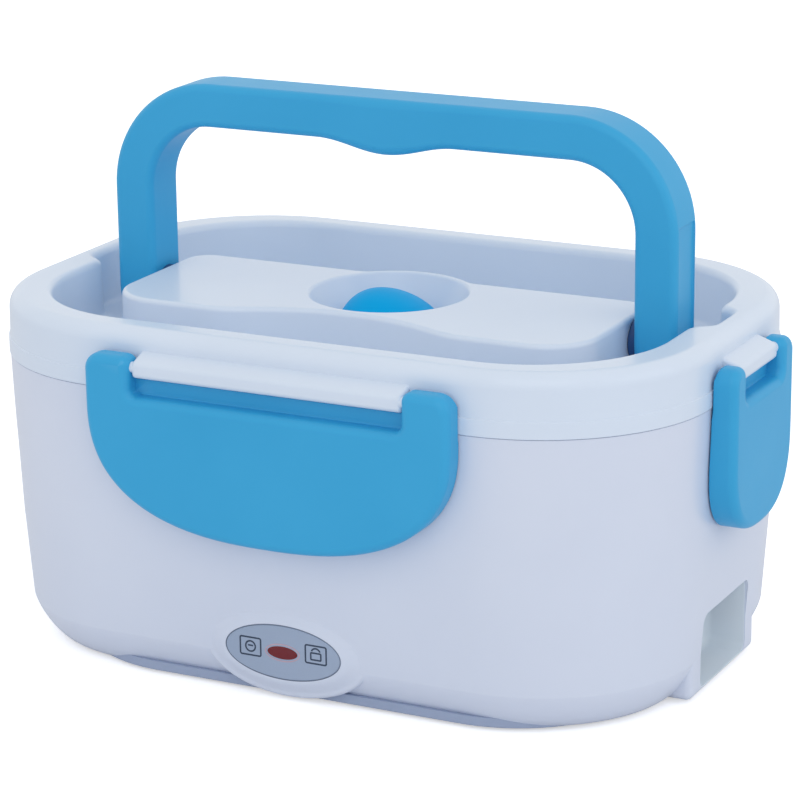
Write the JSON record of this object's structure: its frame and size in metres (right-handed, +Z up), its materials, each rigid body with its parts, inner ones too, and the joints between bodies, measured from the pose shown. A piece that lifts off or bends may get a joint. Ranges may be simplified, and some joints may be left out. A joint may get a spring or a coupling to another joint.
{
  "type": "electric lunch box",
  "caption": "Portable food warmer: tapered oblong base with a mains inlet and lamp panel, lift-off lid with folding handle, vent plug and snap latches, and lift-out food containers.",
  "frame": {"origin": "centre of the footprint, on the table under the rubber feet", "axes": "+X to the right end with the mains inlet, +Y to the back, +Z up; the indicator panel faces -Y"},
  "size_m": [0.2404, 0.1674, 0.1667],
  "materials": {
    "white_plastic": "satin",
    "grey_plastic": "matte",
    "blue_plastic": "satin",
    "bright_blue": "satin",
    "pale_blue": "satin",
    "panel_grey": "satin",
    "red_lens": "clear",
    "dark_plastic": "matte",
    "dark_rubber": "matte",
    "silicone": "matte",
    "aluminium": "brushed",
    "steel": "satin",
    "brass": "polished",
    "ceramic": "matte",
    "green_board": "satin",
    "wire_red": "satin"
  },
  "bodies": {
    "base": {"base_shell": "white_plastic", "bottom_cover": "grey_plastic", "cover_screws": "steel", "rubber_feet": "dark_rubber", "inner_well": "white_plastic", "plate_gasket": "silicone", "heating_plate": "aluminium", "heating_element": "aluminium", "plate_straps": "steel", "strap_screws": "steel", "element_clamp": "steel", "thermostat": "dark_plastic", "thermal_fuse": "ceramic", "indicator_board": "green_board", "indicator_led": "red_lens", "indicator_lens": "red_lens", "panel_plate": "panel_grey", "mains_inlet": "dark_plastic", "mains_pins": "brass", "wiring": "wire_red"},
    "tray": {"food_tray": "white_plastic"},
    "dish": {"side_dish": "white_plastic"},
    "dish_cover": {"side_dish_lid": "pale_blue"},
    "lid": {"lid_shell": "white_plastic", "lid_liner": "white_plastic", "lid_gasket": "silicone"},
    "vent": {"vent_plug": "bright_blue"},
    "grip": {"handle": "blue_plastic"},
    "latch_front": {"front_latch": "blue_plastic"},
    "latch_back": {"back_latch": "blue_plastic"},
    "latch_left": {"left_latch": "blue_plastic"},
    "latch_right": {"right_latch": "blue_plastic"}
  },
  "joints": [
    {"name": "lid_lift", "type": "slide", "parent": "base", "child": "lid", "axis": [0, 0, 1], "range_m": [0, 0.26]},
    {"name": "tray_lift", "type": "slide", "parent": "base", "child": "tray", "axis": [0, 0, 1], "range_m": [0, 0.11]},
    {"name": "dish_lift", "type": "slide", "parent": "tray", "child": "dish", "axis": [0, 0, 1], "range_m": [0, 0.066]},
    {"name": "dish_cover_lift", "type": "slide", "parent": "dish", "child": "dish_cover", "axis": [0, 0, 1], "range_m": [0, 0.032]},
    {"name": "vent_lift", "type": "slide", "parent": "lid", "child": "vent", "axis": [0, 0, 1], "range_m": [0, 0.006]},
    {"name": "handle_fold", "type": "hinge", "parent": "lid", "child": "grip", "pos_m": [0, 0.0032, 0.1], "axis": [1, 0, 0], "range_deg": [0, 90]},
    {"name": "front_latch_turn", "type": "hinge", "parent": "lid", "child": "latch_front", "pos_m": [0, -0.0801, 0.0989], "axis": [-1, 0, 0], "range_deg": [0, 110]},
    {"name": "back_latch_turn", "type": "hinge", "parent": "lid", "child": "latch_back", "pos_m": [0, 0.0801, 0.0989], "axis": [1, 0, 0], "range_deg": [0, 110]},
    {"name": "right_latch_turn", "type": "hinge", "parent": "lid", "child": "latch_right", "pos_m": [0.1166, 0, 0.0989], "axis": [0, -1, 0], "range_deg": [0, 110]},
    {"name": "left_latch_turn", "type": "hinge", "parent": "lid", "child": "latch_left", "pos_m": [-0.1166, 0, 0.0989], "axis": [0, 1, 0], "range_deg": [0, 110]}
  ],
  "couplings": [
    {"joint": "tray_lift", "follows": "lid_lift", "ratio": 0.42},
    {"joint": "dish_lift", "follows": "lid_lift", "ratio": 0.25},
    {"joint": "dish_cover_lift", "follows": "lid_lift", "ratio": 0.12}
  ]
}
